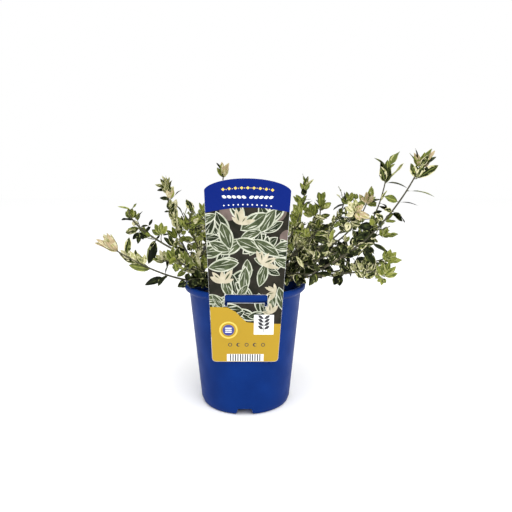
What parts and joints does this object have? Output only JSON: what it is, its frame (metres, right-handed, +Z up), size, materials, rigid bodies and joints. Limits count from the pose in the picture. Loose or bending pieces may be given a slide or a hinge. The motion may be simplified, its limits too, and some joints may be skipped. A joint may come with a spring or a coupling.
{
  "type": "potted wintercreeper shrub",
  "caption": "Small variegated evergreen shrub whose leafy shoots spread from a short forked stem in a tapered round pot, with a tall picture card hooked over the rim.",
  "frame": {"origin": "centre of the pot's flat underside, on the surface that the pot stands on", "axes": "+Z up the pot's axis; -Y to the front, where the picture card hangs; +X to the right as seen from the front"},
  "size_m": [0.3798, 0.2585, 0.3086],
  "materials": {
    "pot": "satin moulded polypropylene, cobalt blue",
    "compost": "moist dark peat and bark crumbs",
    "card": "printed plastic sheet, semi-gloss",
    "bark": "thin grey-green to brown bark",
    "leaves": "leathery leaves, green mottled and edged with cream, pink-cream at the tips"
  },
  "bodies": {
    "root": {"compost": "compost", "leaves_back_centre": "leaves", "leaves_back_centre_left": "leaves", "leaves_back_centre_right": "leaves", "leaves_back_left": "leaves", "leaves_back_low_left": "leaves", "leaves_back_low_right": "leaves", "leaves_back_right": "leaves", "leaves_card_top": "leaves", "leaves_centre_tall": "leaves", "leaves_far_left": "leaves", "leaves_front_left": "leaves", "leaves_front_right": "leaves", "leaves_left_behind_card": "leaves", "leaves_left_cream": "leaves", "leaves_left_inner_tall": "leaves", "leaves_left_low_front": "leaves", "leaves_left_mid": "leaves", "leaves_left_rim": "leaves", "leaves_left_tall": "leaves", "leaves_right_back_rosette": "leaves", "leaves_right_cream": "leaves", "leaves_right_inner_front": "leaves", "leaves_right_inner_low": "leaves", "leaves_right_low_front": "leaves", "leaves_right_low_mid": "leaves", "leaves_right_lowest": "leaves", "leaves_right_mid": "leaves", "leaves_right_mid_rosette": "leaves", "leaves_right_near_card": "leaves", "leaves_right_rim": "leaves", "leaves_right_second": "leaves", "leaves_right_tall_left": "leaves", "leaves_right_tall_right": "leaves", "limb_back_centre": "bark", "limb_back_centre_left": "bark", "limb_back_left": "bark", "limb_back_low_left": "bark", "limb_back_low_right": "bark", "limb_back_right": "bark", "limb_card_top": "bark", "limb_far_left": "bark", "limb_left_cream": "bark", "limb_left_mid": "bark", "limb_left_tall": "bark", "limb_right_back_rosette": "bark", "limb_right_cream": "bark", "limb_right_low_front": "bark", "limb_right_low_mid": "bark", "limb_right_lowest": "bark", "limb_right_mid": "bark", "limb_right_mid_rosette": "bark", "limb_right_near_card": "bark", "limb_right_second": "bark", "limb_right_tall_left": "bark", "limb_right_tall_right": "bark", "picture_card": "card", "pot": "pot", "stem": "bark"}
  },
  "joints": []
}
